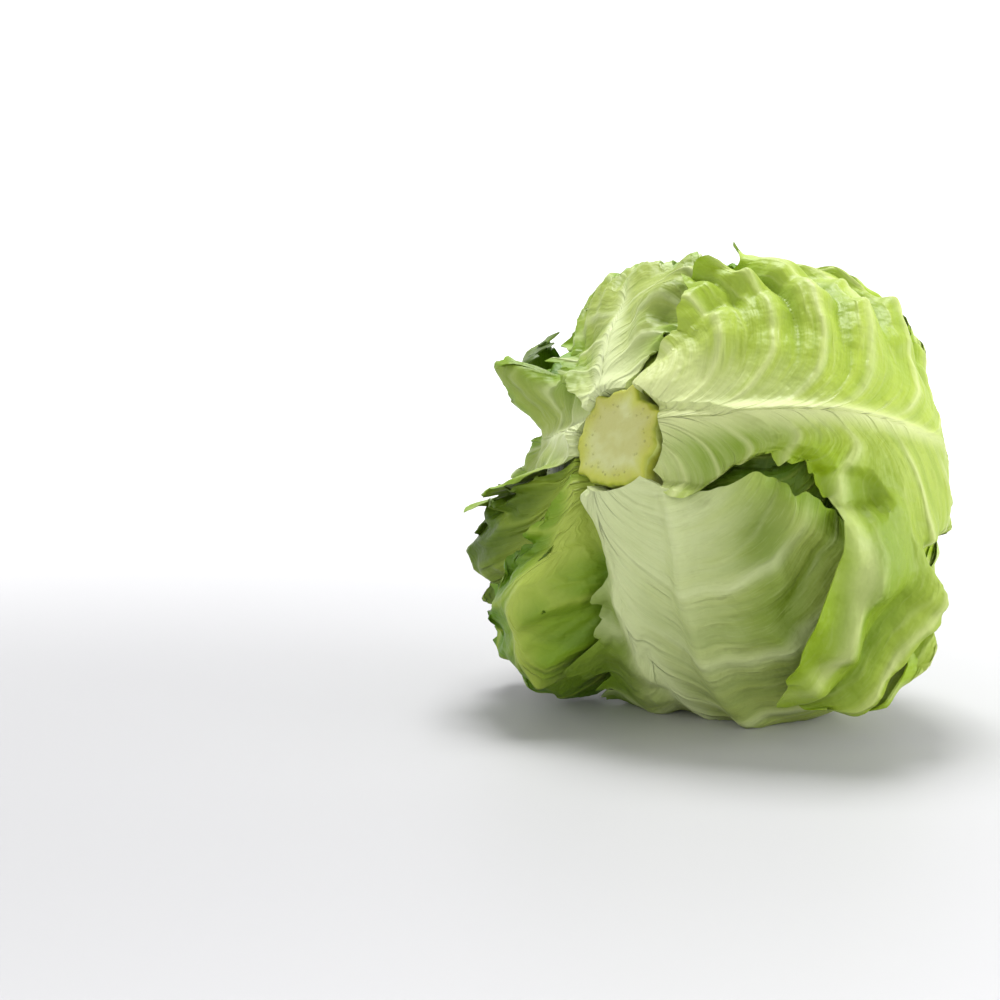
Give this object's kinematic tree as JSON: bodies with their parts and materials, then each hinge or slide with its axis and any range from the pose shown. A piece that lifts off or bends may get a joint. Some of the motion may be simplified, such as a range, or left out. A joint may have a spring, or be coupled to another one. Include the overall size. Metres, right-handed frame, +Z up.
{
  "type": "iceberg lettuce",
  "caption": "Round head of iceberg lettuce with crinkled wrapper leaves, lying on its side with its cut stem showing.",
  "frame": {"origin": "middle of the head's bounding box, on the table it lies on", "axes": "+Z up from the table; -Y towards the viewer; the cut stem points to -X and -Y and a little up"},
  "size_m": [0.1548, 0.1553, 0.1532],
  "materials": {
    "heart": "waxy pale green leaf",
    "stem": "moist cut stem",
    "pale": "satin pale leaf",
    "mid": "satin green leaf",
    "deep": "satin dark green leaf"
  },
  "bodies": {
    "root": {"heart": "heart", "cut_stem": "stem", "inner_leaf": "pale", "back_leaf": "mid", "crown_leaf": "mid", "top_back_leaf": "mid", "left_back_leaf": "deep", "loose_leaf": "deep", "lower_left_leaf": "mid", "left_leaf": "pale", "upper_leaf": "pale", "lower_leaf": "pale", "right_leaf": "pale"}
  },
  "joints": []
}
